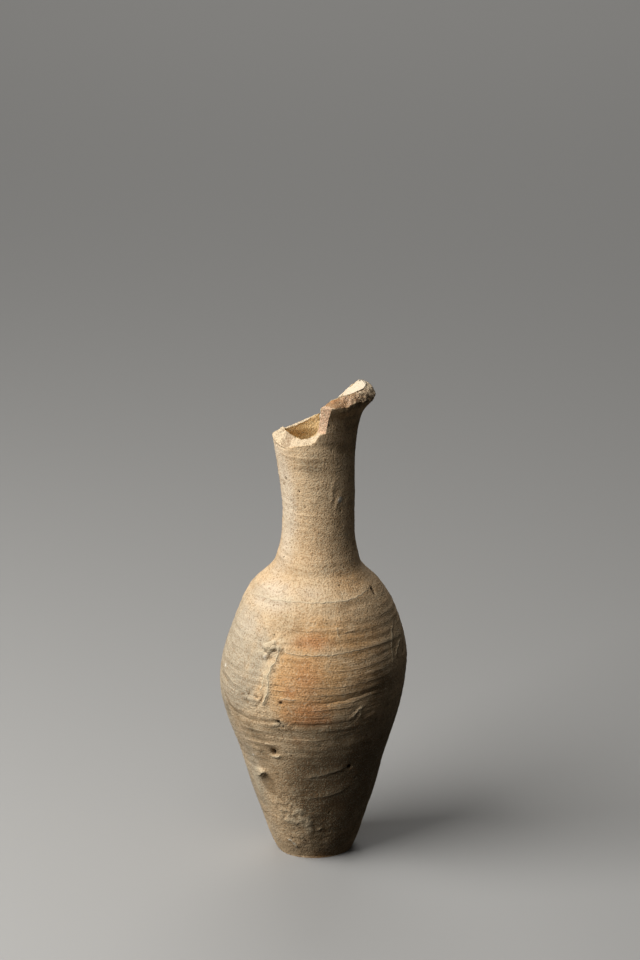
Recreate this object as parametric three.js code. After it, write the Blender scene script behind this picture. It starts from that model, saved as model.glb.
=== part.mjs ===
// An ancient unguentarium: a small wheel-thrown earthenware bottle for oil or perfume, 200 mm high.
// It is one hollow piece of fired clay. Its rim is broken away on one side, and nothing is restored.
// Millimetres, +Z up. The origin is the middle of the underside, +X is towards the surviving lip.
import * as THREE from "three";

// Driving sizes.
const FOOT_RADIUS = 15.7;
const BODY_RADIUS = 38;
const BODY_HEIGHT = 78; // height of the widest part above the foot
const NECK_RADIUS = 14.6;
const NECK_HEIGHT = 145; // height of the narrowest part
const LIP_RADIUS = 25.4;
const LIP_HEIGHT = 197.2; // top of the lip's outer edge
const MOUTH_RADIUS = 21.3;
const MOUTH_HEIGHT = 200.2;
const NECK_WALL = 4.2;
const FLOOR = 7.5; // thickness of the clay under the hollow
const FLAT_RADIUS = 14.7; // flat part of the underside, inside its worn edge
const WORN_EDGE = 0.7; // height to which the edge of the foot is worn away

// Rows of [height, radius] that the wall passes through, smoothly.
const OUTER_WALL = [
  [0, FOOT_RADIUS],
  [4, 17.4],
  [15, 21.1],
  [30, 26],
  [45, 30.1],
  [60, 35],
  [70, 37.4],
  [BODY_HEIGHT, BODY_RADIUS],
  [86, 37.6],
  [94, 35.7],
  [104, 32.4],
  [111, 29.3],
  [116, 25.8],
  [120, 21.7],
  [124, 18.3],
  [130, 16.1],
  [NECK_HEIGHT, NECK_RADIUS],
  [158, 15.1],
  [170, 15.9],
  [184, 18.2],
  [188, 19.4],
  [191.3, 21.2],
  [195, 24.5],
  [LIP_HEIGHT, LIP_RADIUS],
];
const INNER_WALL = [
  [FLOOR, 5],
  [9.5, 10.5],
  [16, 15.2],
  [30, 20.6],
  [60, 29.8],
  [BODY_HEIGHT, 33.2],
  [94, 30.6],
  [108, 24.6],
  [118, 16.2],
  [125, 11.9],
  [NECK_HEIGHT, NECK_RADIUS - NECK_WALL],
  [170, 11.8],
  [184, 13.9],
  [192, 16.5],
  [MOUTH_HEIGHT, MOUTH_RADIUS],
];

// The pot was thrown a little crooked: rows of [height, how far its middle stands towards +X].
const LEAN = [
  [0, 0.5],
  [15, 0.25],
  [50, -0.35],
  [70, -0.6],
  [78, -0.1],
  [90, 1],
  [104, 1.6],
  [115, 1.2],
  [130, 1.8],
  [155, 1.9],
  [168, 1],
  [182, 0.4],
  [MOUTH_HEIGHT, -0.1],
];

// The top edge all round, anticlockwise from the foot of the step at the front. Each row has the
// azimuth and height of the edge outside, the same inside, and the mesh columns up to the next row.
const TOP_EDGE = [
  // step up to the lip
  [-75.4, 184.7, -73, 184, 2],
  [-73.8, 189, -74.5, 188.2, 2],
  [-73.7, 193, -78.5, 192.4, 1],
  [-74, 196.4, -80, 195.4, 1],
  // surviving lip, worn to a bevel
  [-70, 196.7, -75, 196.9, 1],
  [-64, 196.7, -69, 198.8, 1],
  [-58, 196.6, -60, 199.4, 1],
  [-49, 197.8, -49, 200, 2],
  [-38, 197.1, -38, MOUTH_HEIGHT, 3],
  [-12, 195.7, -15, 200, 2],
  [8, 195.7, 8, 199.9, 2],
  // break, falling round the back
  [18, 196.2, 20, 199.5, 1],
  [27, 195, 28, 198.5, 1],
  [33, 193.6, 34, 196.8, 2],
  [42, 191, 42, 193, 2],
  [55, 187.4, 55, 188.4, 3],
  [78, 182.7, 78, 183.7, 3],
  [100, 180.2, 100, 181.3, 3],
  [125, 178.2, 126, 179.5, 3],
  [150, 178, 150, 179.7, 3],
  // thick spalled corner on the left
  [172, 178.6, 174, 180.3, 2],
  [186, 178.9, 190, 181.4, 2],
  [198, 178.2, 206, 184, 1],
  [206, 177.7, 212, 182.9, 2],
  [222, 177.4, 223, 182, 2],
  // front, sloping down and out, with a small step
  [236, 177.5, 236, 180.8, 2],
  [251, 178.8, 248, 180.4, 2],
  [265, 179.6, 264, 181.3, 2],
  [271.8, 181, 271, 182, 1],
  [273.6, 182.3, 274, 182.4, 1],
  [276, 183.5, 278, 182.8, 2],
];

// Lines left by throwing and scraping: [height, azimuth of the middle, half its span, rise from
// end to end, relief, half width]. Relief above 0 is a ridge, below 0 a groove.
const TOOL_LINES = [
  [130.5, -90, 180, 0, -0.2, 2],
  [115.8, -80, 70, 0, 0.4, 1.5],
  [106, -95, 60, 0, 0.2, 1.5],
  [97.5, -70, 65, 0.6, 0.5, 1.6],
  [90.7, -50, 60, 0, 0.3, 1.5],
  [84, -60, 60, 0.4, 0.3, 1.5],
  [78, -78, 20, 1, -0.5, 1.4],
  [67.5, 90, 180, 0, -0.35, 1.8],
  [43.2, -82, 28, 3.5, -0.4, 1.8],
  [32.4, -78, 34, 3.3, -0.4, 1.8],
];
const FADE = 0.3; // share of the half span over which each end of a line dies away

// Lumps and hollows: [azimuth, height, half width, half height, relief].
const LUMPS = [
  [-121, 98, 5, 3.5, 1.1], // scar of clay dragged over the belly
  [-120, 86, 2.6, 9, 0.5],
  [-135, 41.5, 3, 3, 0.8], // stuck crumb
  [-108, 22, 9, 8, 0.5], // rough patch above the foot
  [-121, 52.5, 3, 3, -0.7],
  [-84, 0, 15, 8, -2.2], // foot pared away at the front
];

// Mesh rows. The wall is even and low up to SPREAD_HEIGHT, and fans out to meet the break above it.
const SPREAD_HEIGHT = 148;
const OUTER_STEPS = [
  [2, 40, 4],
  [40, 120, 2.5],
  [120, SPREAD_HEIGHT, 4],
]; // [from, to, step]
const OUTER_TOP_ROWS = 13;
const BREAK_ROWS = 2;
const INNER_TOP_ROWS = 6;
const INNER_HEIGHTS = [130, 122, 115, 106, 92, BODY_HEIGHT, 60, 42, 26, 14, 9.5, FLOOR];
const SNAP = 1.3; // a row this near a tool line moves onto it
const CROWD = 0.72; // below 1, rows crowd towards the top edge
const FAN = 3; // above 1, columns turn towards the break mostly near it

const CLAY = "#b79d76";

const radians = THREE.MathUtils.degToRad;

/** Height of the smooth curve through [x, y] rows, flat beyond its ends. */
function through(rows, x) {
  const last = rows.length - 1;
  const at = THREE.MathUtils.clamp(x, rows[0][0], rows[last][0]);
  let i = 0;
  while (i < last - 1 && at > rows[i + 1][0]) i += 1;
  const slope = (k) => (rows[k + 1][1] - rows[k][1]) / (rows[k + 1][0] - rows[k][0]);
  const run = (k) => rows[k + 1][0] - rows[k][0];
  const tangent = (k) => {
    if (k === 0) return slope(0);
    if (k === last) return slope(last - 1);
    return (slope(k - 1) * run(k) + slope(k) * run(k - 1)) / (run(k) + run(k - 1));
  };
  const t = (at - rows[i][0]) / run(i);
  const [y0, y1] = [rows[i][1], rows[i + 1][1]];
  const [m0, m1] = [tangent(i) * run(i), tangent(i + 1) * run(i)];
  return y0 + t * (m0 + t * (3 * (y1 - y0) - 2 * m0 - m1 + t * (2 * (y0 - y1) + m0 + m1)));
}

/** Difference between two azimuths, from -180 to 180 degrees. */
function turn(a, b) {
  return THREE.MathUtils.euclideanModulo(a - b + 180, 360) - 180;
}

const bump = (distance, halfWidth) => Math.exp(-((distance / halfWidth) ** 2));

/** How far tool lines and lumps push the outer wall out. */
function relief(azimuth, z) {
  let out = 0;
  for (const [height, middle, span, rise, size, width] of TOOL_LINES) {
    const along = turn(azimuth, middle) / span;
    const fade = span >= 180 ? 1 : THREE.MathUtils.smoothstep(1 - Math.abs(along), 0, FADE);
    out += size * fade * bump(z - height - (along * rise) / 2, width);
  }
  for (const [middle, height, width, tall, size] of LUMPS) {
    const across = radians(turn(azimuth, middle)) * through(OUTER_WALL, z);
    out += size * bump(across, width) * bump(z - height, tall);
  }
  return out;
}

function wallPoint(wall, azimuth, z) {
  const r = through(wall, z) + (wall === OUTER_WALL ? relief(azimuth, z) : 0);
  const a = radians(azimuth);
  return new THREE.Vector3(r * Math.cos(a) + through(LEAN, z), r * Math.sin(a), z);
}

/** The columns of the mesh: the azimuth low on the wall, and the two edges at the break. */
function columns() {
  const edges = TOP_EDGE.flatMap((row, i) => {
    const next = TOP_EDGE[(i + 1) % TOP_EDGE.length];
    return Array.from({ length: row[4] }, (_, k) => {
      const t = k / row[4];
      return {
        outer: [row[0] + t * turn(next[0], row[0]), row[1] + t * (next[1] - row[1])],
        inner: [row[2] + t * turn(next[2], row[2]), row[3] + t * (next[3] - row[3])],
      };
    });
  });
  return edges.map((edge, i) => ({ ...edge, low: TOP_EDGE[0][0] + (i * 360) / edges.length }));
}

/** One point of a wall between SPREAD_HEIGHT (t = 0) and the break (t = 1). */
function fannedPoint(wall, low, [azimuth, height], t) {
  const z = THREE.MathUtils.lerp(SPREAD_HEIGHT, height, t);
  return wallPoint(wall, low + turn(azimuth, low) * t ** FAN, z);
}

function outerHeights() {
  const heights = [];
  for (const [from, to, step] of OUTER_STEPS) {
    for (let z = from; z < to - step / 2; z += step) {
      const line = TOOL_LINES.find(([height]) => Math.abs(height - z) < SNAP);
      heights.push(line ? line[0] : z);
    }
  }
  return heights;
}

/** Each ring of the bottle, from the underside up the outside, over the break and down inside. */
function rings() {
  const cols = columns();
  const ring = (place) => cols.map(place);
  const foot = ring((c) => wallPoint(OUTER_WALL, c.low, 0));
  const flat = foot.map((p) => p.clone().multiplyScalar(FLAT_RADIUS / FOOT_RADIUS));
  const wornEdge = foot.map((p) => p.clone().setZ(WORN_EDGE));
  const made = [flat, wornEdge];
  for (const z of outerHeights()) made.push(ring((c) => wallPoint(OUTER_WALL, c.low, z)));
  for (let i = 0; i <= OUTER_TOP_ROWS; i += 1) {
    const t = (i / OUTER_TOP_ROWS) ** CROWD;
    made.push(ring((c) => fannedPoint(OUTER_WALL, c.low, c.outer, t)));
  }
  for (let i = 1; i <= BREAK_ROWS; i += 1) {
    const t = i / (BREAK_ROWS + 1);
    made.push(
      ring((c) =>
        wallPoint(OUTER_WALL, ...c.outer).lerp(wallPoint(INNER_WALL, ...c.inner), t),
      ),
    );
  }
  for (let i = INNER_TOP_ROWS; i >= 0; i -= 1) {
    const t = (i / INNER_TOP_ROWS) ** CROWD;
    made.push(ring((c) => fannedPoint(INNER_WALL, c.low, c.inner, t)));
  }
  for (const z of INNER_HEIGHTS) made.push(ring((c) => wallPoint(INNER_WALL, c.low, z)));
  return made;
}

/** A closed skin over the rings, with a point in the middle of the first and the last. */
function skin(made) {
  const around = made[0].length;
  const points = made.flat();
  const underside = points.push(new THREE.Vector3(0, 0, 0)) - 1;
  const hollowFloor = points.push(new THREE.Vector3(through(LEAN, FLOOR), 0, FLOOR)) - 1;
  const top = (made.length - 1) * around;
  const index = [];
  for (let i = 0; i < around; i += 1) {
    const j = (i + 1) % around;
    index.push(underside, j, i, hollowFloor, top + i, top + j);
    for (let row = 0; row < top; row += around) {
      index.push(row + i, row + j, row + around + i);
      index.push(row + j, row + around + j, row + around + i);
    }
  }
  const geometry = new THREE.BufferGeometry().setFromPoints(points);
  geometry.setIndex(index);
  geometry.computeVertexNormals();
  return geometry;
}

const clay = new THREE.MeshStandardMaterial({ color: CLAY, roughness: 0.9, metalness: 0 });
const vessel = new THREE.Mesh(skin(rings()), clay);
vessel.name = "vessel";

const unguentarium = new THREE.Group();
unguentarium.add(vessel);

export default unguentarium;
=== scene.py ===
"""An ancient unguentarium of unglazed earthenware, for Blender 4.5.

The bottle is one closed skin. Mesh code lays it out as rings on a wall profile, breaks it along the
rim and puts on each mark that has its own place: ridges, scratches, pin holes, the scar and the
crumbs. Geometry Nodes then put on what the wheel and the clay leave all over: throwing ridges, wiped
lines, lumps, grit, small pits and the grain of the break. Tables are in millimetres of a bottle
MOUTH_HEIGHT high, and azimuths in degrees anticlockwise from +X, with the front at -90.
"""

import math

import bpy
import numpy as np
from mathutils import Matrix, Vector


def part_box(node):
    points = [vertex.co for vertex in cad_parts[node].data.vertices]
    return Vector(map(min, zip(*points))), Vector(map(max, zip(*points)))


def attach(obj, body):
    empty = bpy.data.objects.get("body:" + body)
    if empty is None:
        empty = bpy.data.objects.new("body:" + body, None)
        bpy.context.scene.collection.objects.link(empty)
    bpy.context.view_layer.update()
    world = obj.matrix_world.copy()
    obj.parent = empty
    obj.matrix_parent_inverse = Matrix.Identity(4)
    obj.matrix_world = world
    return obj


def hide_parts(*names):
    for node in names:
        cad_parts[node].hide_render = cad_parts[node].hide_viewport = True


bl_info = {
    "name": "Earthenware Unguentarium",
    "version": (1, 0, 0),
    "blender": (4, 5, 0),
    "location": "3D View > Sidebar > Unguentarium",
    "description": "Throws, breaks and weathers an unglazed clay perfume bottle",
    "category": "Add Mesh",
}

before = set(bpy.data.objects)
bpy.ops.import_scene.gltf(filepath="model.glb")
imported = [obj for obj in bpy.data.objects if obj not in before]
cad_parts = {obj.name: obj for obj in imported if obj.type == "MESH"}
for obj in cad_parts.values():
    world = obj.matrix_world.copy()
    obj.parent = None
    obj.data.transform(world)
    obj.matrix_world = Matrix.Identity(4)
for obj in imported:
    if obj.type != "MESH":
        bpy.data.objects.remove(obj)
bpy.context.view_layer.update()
LOWEST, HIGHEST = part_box("vessel")

MM = 0.001
FRONT = -90  # azimuth

# ---------------------------------------------------------------------------------------------
# Form of the bottle

FOOT_RADIUS = 15.7
FLAT_RADIUS = 14.7  # flat part of the underside, inside its worn edge
MOUTH_HEIGHT = 200.2
FLOOR = 7.5  # clay under the hollow

# Rows of [height, radius] that each wall passes through, smoothly.
OUTER_WALL = [
    [0, FOOT_RADIUS], [4, 17.4], [15, 21.1], [30, 26], [45, 30.1], [60, 35], [70, 37.4],
    [78, 38], [86, 37.6], [94, 35.7], [104, 32.4], [111, 29.3], [116, 25.8], [120, 21.7],
    [124, 18.3], [130, 16.1], [145, 14.6], [158, 15.1], [170, 15.9], [184, 18.2], [188, 19.4],
    [191.3, 21.2], [195, 24.5], [197.2, 25.4],
]
INNER_WALL = [
    [FLOOR, 5], [9.5, 10.5], [16, 15.2], [30, 20.6], [60, 29.8], [78, 33.2], [94, 30.6],
    [108, 24.6], [118, 16.2], [125, 11.9], [145, 10.4], [170, 11.8], [184, 13.9], [192, 16.5],
    [MOUTH_HEIGHT, 21.3],
]
# How far the middle of the bottle stands towards +X, by height.
LEAN = [
    [0, 0.5], [15, 0.25], [50, -0.35], [70, -0.6], [78, -0.1], [90, 1], [104, 1.6], [115, 1.2],
    [130, 1.8], [155, 1.9], [168, 1], [182, 0.4], [MOUTH_HEIGHT, -0.1],
]

# The top edge all round, anticlockwise from the foot of the step at the front: azimuth and height
# of the edge outside, the same inside, and how far the clay between them stands proud.
TOP_EDGE = [
    # step up to the lip
    [-75.4, 184.7, -84.6, 184, 0],
    [-73.8, 189, -82, 188.2, -0.1],
    [-73.7, 193, -80.6, 192.4, -0.1],
    [-74, 196.4, -80, 195.4, 0],
    # surviving lip, worn to a bevel
    [-70, 196.7, -75, 196.9, 0.3],
    [-64, 196.7, -69, 198.8, 0.5],
    [-58, 196.6, -60, 199.4, 0.6],
    [-49, 197.8, -49, 200, 0.6],
    [-38, 197.1, -38, MOUTH_HEIGHT, 0.7],
    [-12, 195.7, -15, 200, 0.8],
    [8, 195.7, 8, 199.9, 0.8],
    # break, falling round the back
    [18, 196.2, 20, 199.5, 0.4],
    [27, 195, 28, 198.5, 0.1],
    [33, 193.6, 34, 196.8, 0],
    [42, 191, 42, 193, -0.1],
    [55, 187.4, 55, 188.4, 0],
    [78, 182.7, 78, 183.7, 0.15],
    [100, 180.2, 100, 181.3, 0.1],
    [125, 178.2, 126, 179.5, -0.1],
    [150, 178, 150, 179.7, 0.1],
    # thick spalled corner on the left
    [172, 178.6, 174, 180.3, 0.2],
    [186, 178.9, 190, 181.4, 0.3],
    [198, 178.2, 206, 184, 0.6],
    [206, 177.7, 212, 182.9, 0.3],
    [222, 177.4, 223, 182, -0.3],
    # front, sloping down and out, with a small step
    [236, 177.5, 236, 180.8, 0.1],
    [251, 178.8, 248, 180.4, 0.2],
    [265, 179.6, 261, 181.3, 0.2],
    [271.8, 181, 268, 182, 0],
    [273.6, 182.3, 270.5, 182.4, 0],
    [276, 183.5, 273, 182.8, 0],
]
SPREAD_HEIGHT = 148  # above it the columns fan out to meet the break
FAN = 3  # above 1, columns turn towards the break mostly near it
FRONT_CROWDING = 0.3  # share by which the columns crowd at the front
CROWD = 0.88  # below 1, rows crowd towards the top edge

# Lumps and hollows: [azimuth, height, half width, half height, relief].
LUMPS = [
    # scar where clay was dragged over the belly: its cap, a curl of clay, crumbs and its foot
    [-122, 98.4, 4, 2.6, 0.5], [-120.7, 98.9, 1.8, 1.1, 1.15], [-125.8, 98.3, 1.7, 1.1, 1],
    [-124.4, 94.8, 1.2, 1.8, 1.25], [-120, 95.2, 1.7, 1.9, -0.15], [-128.5, 95.6, 1.4, 1.4, 0.4],
    [-123.4, 90.8, 1.1, 1.5, 0.45], [-120.4, 91, 1.6, 2.4, 0.25], [-122, 82.6, 2.4, 5.6, 0.25],
    [-126.4, 76.3, 1.7, 0.9, 0.75], [-131, 76.4, 1.8, 0.9, 0.4], [-120.6, 76.4, 0.8, 2, 0.5],
    [-117, 89.6, 1.4, 1.1, -0.35], [-134, 80.4, 1.6, 1.2, 0.3],
    # stuck crumb and the dents beside it
    [-138.8, 40.6, 2.4, 2.2, 0.9], [-135, 41.4, 1.8, 1.3, 0.5], [-133.6, 38.4, 1.6, 1.8, -0.3],
    [-133.4, 37.2, 3.4, 3.6, -0.75], [-130, 33, 3, 3.4, -0.4], [-146, 34, 2.4, 8, 0.5],
    # rough patch above the foot
    [-108, 22, 9, 8, 0.35], [-101, 20.5, 1.6, 1.8, 0.5], [-95, 19.2, 1.5, 1.5, 0.45],
    [-92.5, 15.5, 1.2, 1.4, 0.45], [-104, 25.6, 2, 1.5, 0.4], [-112, 19, 2, 1.4, 0.4],
    [-119, 53.2, 3.4, 3, -0.5],  # dish round a burst air bubble
    [-84, 0, 15, 8, -2.2],  # foot pared away at the front
    [-100, 34, 7, 5, -0.35],  # finger dents in the lower body
    [-70, 26, 8, 6, -0.3], [-112, 34, 4, 4, 0.3], [-96, 15, 3, 5, 0.3], [-83, 13, 3, 7, -0.3],
    [-54.5, 155.2, 1.5, 1.4, 0.4],  # lime lump in the neck
    [-64, 160.5, 1.6, 2.6, 0.1],
    [-117, 51.3, 2.2, 0.8, 0.75],  # lip of the burst bubble
    [-48, 176, 5, 3, -0.3],  # shallow flakes lost under the lip
    [-69, 179, 4, 1.6, -0.25],
    # lip, chipped
    [-44, 196.6, 2.2, 1.1, -0.35], [-29, 197.2, 2, 1.2, -0.35], [-15, 196, 1.8, 1, -0.3],
    [-1, 196.6, 2, 1.1, -0.3], [-36, 194.8, 1.6, 0.9, -0.2],
    [60, 60, 14, 10, -0.35],  # hand pressure at the back
    [150, 88, 12, 12, 0.3], [20, 35, 9, 12, -0.3], [115, 30, 10, 9, 0.3],
]

# Lines along and across the wall: [relief, half width above, half width below, share faded at each
# end, how pale the lip is, how dark the cut is, points of azimuth and height]. The pale lip is partly
# pale clay of scratches and partly painted highlight on lit edges; the dark cut is painted shade in
# cracks and under ledges. Above and below are to the left and the right of the line as it runs.
LINES = [
    # ledges that the potter's rib left
    [0.26, 2, 0.4, 0.15, 0.7, 0.25,
     [(-172, 113.4), (-150, 115), (-110, 116), (-60, 116), (-30, 117.4), (-17, 117)]],
    [0.14, 1.8, 0.5, 0.3, 0.3, 0.1, [(-140, 106.3), (-95, 106), (-55, 106.4)]],
    [0.3, 2, 0.4, 0.08, 0.7, 0.2,
     [(-117, 99.8), (-112, 97.7), (-109.7, 97.2), (-101, 97), (-92, 96.6), (-74, 97.2), (-55, 98),
      (-30, 97.2), (-8, 96)]],
    [0.16, 1.4, 0.4, 0.2, 0.45, 0.15, [(-176, 99), (-160, 98.2), (-146, 98), (-131, 99)]],
    [0.15, 1.6, 0.5, 0.3, 0.5, 0.15, [(-98, 91), (-70, 90.2), (-28, 91.4)]],
    [0.14, 1.5, 0.5, 0.3, 0.5, 0.15, [(-108, 83.6), (-75, 84), (-30, 84.8)]],
    [0.11, 1.4, 0.5, 0.3, 0.35, 0.15, [(-95, 87.6), (-60, 87.2), (-25, 88.6)]],
    [0.14, 1.4, 0.5, 0.3, 0.5, 0.15, [(-106, 80.4), (-80, 80.6), (-35, 81.8)]],
    [0.11, 1.2, 0.5, 0.3, 0.3, 0.15, [(-100, 93.6), (-72, 93.2), (-36, 94.4)]],
    [0.2, 1.4, 0.4, 0.3, 0.5, 0.25, [(-104, 73.4), (-80, 74.6), (-52, 75.4)]],
    [-0.2, 0.9, 0.9, 0.2, 0, 0.4, [(-107, 68.2), (-80, 68), (-47, 69.4)]],
    [-0.28, 0.6, 0.5, 0.3, 0.2, 0.4, [(-93, 77), (-83, 77.3), (-77, 77.8), (-60, 79.4), (-40, 80.6)]],
    [0.18, 1.2, 0.4, 0.3, 0.5, 0.2, [(-84, 75.6), (-66, 76.6), (-48, 79.2)]],
    [-0.35, 1.2, 0.8, 0.2, 0.1, 0.3,
     [(-168, 76), (-162, 73.3), (-156, 69.6), (-148, 67.6), (-133, 67), (-118, 67.6), (-104, 68)]],
    [0.25, 1.1, 0.6, 0.25, 0.6, 0.3, [(-170, 84.5), (-160, 81.6), (-147, 79.8), (-134, 78.6)]],
    [-0.22, 1, 0.8, 0.25, 0.2, 0.3, [(-170, 81.6), (-158, 78.8), (-146, 77)]],
    [0.18, 1, 0.5, 0.25, 0.45, 0.2, [(-176, 103), (-160, 100.6), (-146, 100)]],
    [0.18, 1, 0.5, 0.25, 0.45, 0.2, [(-178, 92.4), (-164, 90), (-150, 88.6), (-138, 88)]],
    [0.16, 1, 0.5, 0.25, 0.4, 0.2, [(-174, 88), (-160, 85.6), (-146, 84), (-132, 83.6)]],
    [0.16, 1, 0.5, 0.25, 0.4, 0.25, [(-156, 63), (-136, 62), (-112, 63)]],
    [0.14, 1, 0.4, 0.3, 0.35, 0.2, [(-124, 60.6), (-96, 60), (-66, 61.4)]],
    [0.14, 1, 0.4, 0.3, 0.35, 0.25, [(-118, 64.6), (-90, 64), (-58, 65.4)]],
    # rings below the lip
    [-0.3, 0.4, 0.5, 0.2, 0.3, 0.45, [(-170, 177.2), (-154, 176.9), (-140, 176.6), (-128, 176.8)]],
    [0.06, 1, 0.5, 0.3, 0.3, 0, [(-170, 173.6), (-130, 173), (-96, 173.6)]],
    [0.05, 1, 0.5, 0.3, 0.25, 0, [(-160, 169.6), (-128, 169), (-104, 169.4)]],
    [0.12, 1, 0.5, 0.3, 0.25, 0.15, [(-160, 149), (-120, 148.4), (-70, 149)]],
    # trimming marks on the lower body
    [0.35, 2, 0.4, 0.25, 0.45, 0.5, [(-99, 41.2), (-84, 42.8), (-68, 44.9), (-60, 47)]],
    [0.32, 2.2, 0.4, 0.3, 0.45, 0.4, [(-102, 30.6), (-84, 32.2), (-69, 33.6), (-54, 36.4)]],
    [0.2, 1.2, 0.5, 0.3, 0.25, 0.2, [(-150, 55), (-128, 56), (-104, 57.4)]],
    [-0.15, 1.2, 1, 0.3, 0, 0.15, [(-100, 6), (-90.6, 11), (-88, 24)]],
    [-0.12, 1.2, 1, 0.3, 0, 0.15, [(-78, 4), (-76, 14), (-79, 22)]],
    # edge of the dragged clay, up the left of the fired patch, and the cracks under its cap
    [0.45, 1, 0.6, 0.06, 0.9, 0.15,
     [(-122.4, 74.2), (-120.4, 76.6), (-119.8, 78.8), (-118.4, 80.4), (-118.9, 82.8), (-119.2, 85.4),
      (-120.6, 87.4), (-119.4, 89.2), (-118.6, 91.6), (-116.9, 93), (-116.4, 95), (-115.5, 96.5),
      (-116.2, 98.6), (-118.4, 100.6)]],
    [0.3, 0.5, 0.4, 0.15, 0.8, 0.1, [(-124.6, 80), (-123, 83), (-122.6, 86), (-123.4, 88.6)]],
    [0.35, 0.5, 0.8, 0.2, 0.9, 0, [(-128.4, 98.6), (-125.4, 100), (-121.6, 101), (-117.6, 100.6)]],
    [-0.45, 0.35, 0.4, 0.1, 0, 0.8, [(-127.4, 96.8), (-123.2, 96.6), (-119.1, 97), (-116.7, 98.5)]],
    [-0.7, 0.35, 0.4, 0.15, 0, 0.8,
     [(-123.2, 97.4), (-122.7, 99), (-121.4, 100), (-118.6, 100), (-117, 98.8)]],
    [-0.5, 0.4, 0.4, 0.2, 0, 0.7, [(-122.4, 96.8), (-121.7, 95), (-122, 93.6), (-123.6, 92.8)]],
    [-0.4, 0.4, 0.4, 0.3, 0, 0.5, [(-127.4, 95.8), (-127.2, 94), (-125.6, 92.4)]],
    [-0.4, 0.45, 0.45, 0.3, 0.3, 0.85, [(-139, 76.8), (-136, 77)]],
    [-0.5, 0.45, 0.45, 0.3, 0.3, 0.95, [(-134.6, 77.8), (-132.4, 77.6)]],
    [-0.4, 0.45, 0.45, 0.3, 0.3, 0.7, [(-129, 77.8), (-127.1, 77.4), (-124.6, 78)]],
    [-0.6, 0.45, 0.4, 0.2, 0.2, 0.9, [(-121.6, 79.8), (-122, 77.8), (-122.9, 76.4), (-124, 75.4)]],
    [-0.35, 0.4, 0.4, 0.3, 0, 0.6, [(-128, 74.4), (-126.6, 73.2), (-126.8, 71.6)]],
    [-0.3, 0.4, 0.4, 0.3, 0, 0.7, [(-106, 92.2), (-104.4, 91.2)]],
    [-0.3, 0.4, 0.4, 0.3, 0, 0.6, [(-115, 84), (-112.6, 84.2)]],
    [0.25, 0.9, 0.5, 0.3, 0.6, 0.2, [(-114, 78), (-108, 78.8), (-102, 78.6), (-97, 79.4)]],
    [0.2, 0.8, 0.4, 0.3, 0.5, 0.1, [(-116, 81.6), (-109, 82.2), (-104, 82)]],
    # faint runs down the neck
    [0, 0.8, 0.8, 0.3, 0.45, 0, [(-58, 178), (-58.6, 170), (-59, 162)]],
    [0, 0.8, 0.8, 0.3, 0.35, 0, [(-120, 146), (-119, 138), (-119, 130)]],
    # scratches through the skin
    [0.35, 0.45, 0.4, 0.3, 1, 0.1,
     [(-31.8, 85.1), (-32.5, 90.3), (-31.7, 95), (-26.7, 100.6), (-21, 102.8), (-16.1, 104)]],
    [0.45, 0.5, 0.4, 0.25, 1, 0.5, [(-29.3, 88.8), (-27.1, 91.7), (-21.9, 94.3), (-14.9, 95.6)]],
    [-0.5, 0.8, 0.8, 0.2, 0, 0.8, [(-16.9, 88.2), (-12.1, 91.4), (-8.8, 94.1)]],
    [0.35, 0.6, 0.35, 0.2, 1, 0.4, [(-59.3, 67.7), (-58.8, 70.4), (-58.5, 73.7), (-56.9, 75)]],
    [0.35, 0.6, 0.35, 0.2, 1, 0.4, [(-63.8, 68.8), (-61.9, 71.7), (-58.8, 73.5)]],
    [0.2, 0.35, 0.35, 0.3, 0.8, 0, [(-53, 75.6), (-57, 73.8), (-63.6, 73)]],
    [0.2, 0.35, 0.35, 0.3, 0.7, 0, [(-62, 72.4), (-66, 69.4), (-67, 67)]],
    [-0.1, 0.35, 0.35, 0.3, 0.7, 0, [(-85, 70.6), (-81, 72.4), (-77, 72.8)]],
    [-0.1, 0.3, 0.3, 0.3, 0.6, 0, [(-66, 66.4), (-62, 68.4)]],
    [0.2, 0.3, 0.3, 0.3, 0.7, 0, [(-76, 108), (-75, 104), (-73, 102)]],
    [0.2, 0.3, 0.3, 0.3, 0.6, 0, [(-72, 104), (-66, 105.4), (-60, 105)]],
    [-0.1, 0.35, 0.35, 0.3, 0.7, 0, [(-110.6, 110), (-107.4, 108.2)]],
    [-0.1, 0.3, 0.3, 0.3, 0.5, 0, [(-72, 52), (-66, 55)]],
    [0.4, 0.5, 0.4, 0.3, 1, 0.3, [(-123, 51), (-119, 50.4), (-114.4, 51), (-113.4, 52.6)]],
    [0.3, 0.5, 0.4, 0.3, 0.5, 0, [(-125.6, 55.4), (-121.6, 56.8), (-117, 56)]],
    [1, 0.9, 0.5, 0.3, 1, 0.5, [(-142.6, 38.4), (-138.6, 39), (-134.8, 40.2), (-130.6, 42.2)]],
    [0.5, 0.8, 0.5, 0.15, 1, 0.4, [(-126, 9.8), (-119.3, 8.6), (-115.1, 6.2), (-114, 4.6)]],
    [0.45, 0.7, 0.4, 0.2, 1, 0.5, [(-87.6, 15), (-84.6, 15.4), (-81, 17)]],
    [0.3, 0.5, 0.4, 0.3, 0.7, 0.2, [(-98.7, 18.6), (-97.6, 18), (-97.3, 17.1)]],
    # grooves round the back
    [-0.3, 1.1, 0.9, 0.2, 0, 0.4, [(0, 68.4), (60, 67.4), (120, 68.2), (180, 68.8)]],
    [0.28, 1.8, 0.5, 0.2, 0.6, 0.3, [(-8, 116), (60, 115), (130, 114.2), (186, 113.4)]],
    [0.26, 1.8, 0.5, 0.2, 0.5, 0.5, [(20, 96.4), (80, 97.2), (150, 96)]],
    [0.2, 1.4, 0.5, 0.3, 0.4, 0.3, [(10, 84), (75, 82.6), (140, 83)]],
    [0.18, 1.4, 0.5, 0.3, 0.4, 0.3, [(40, 89), (110, 88.4), (176, 89.6)]],
    [0.22, 1.6, 0.5, 0.3, 0.3, 0.3, [(30, 44), (85, 42), (140, 45)]],
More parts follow.
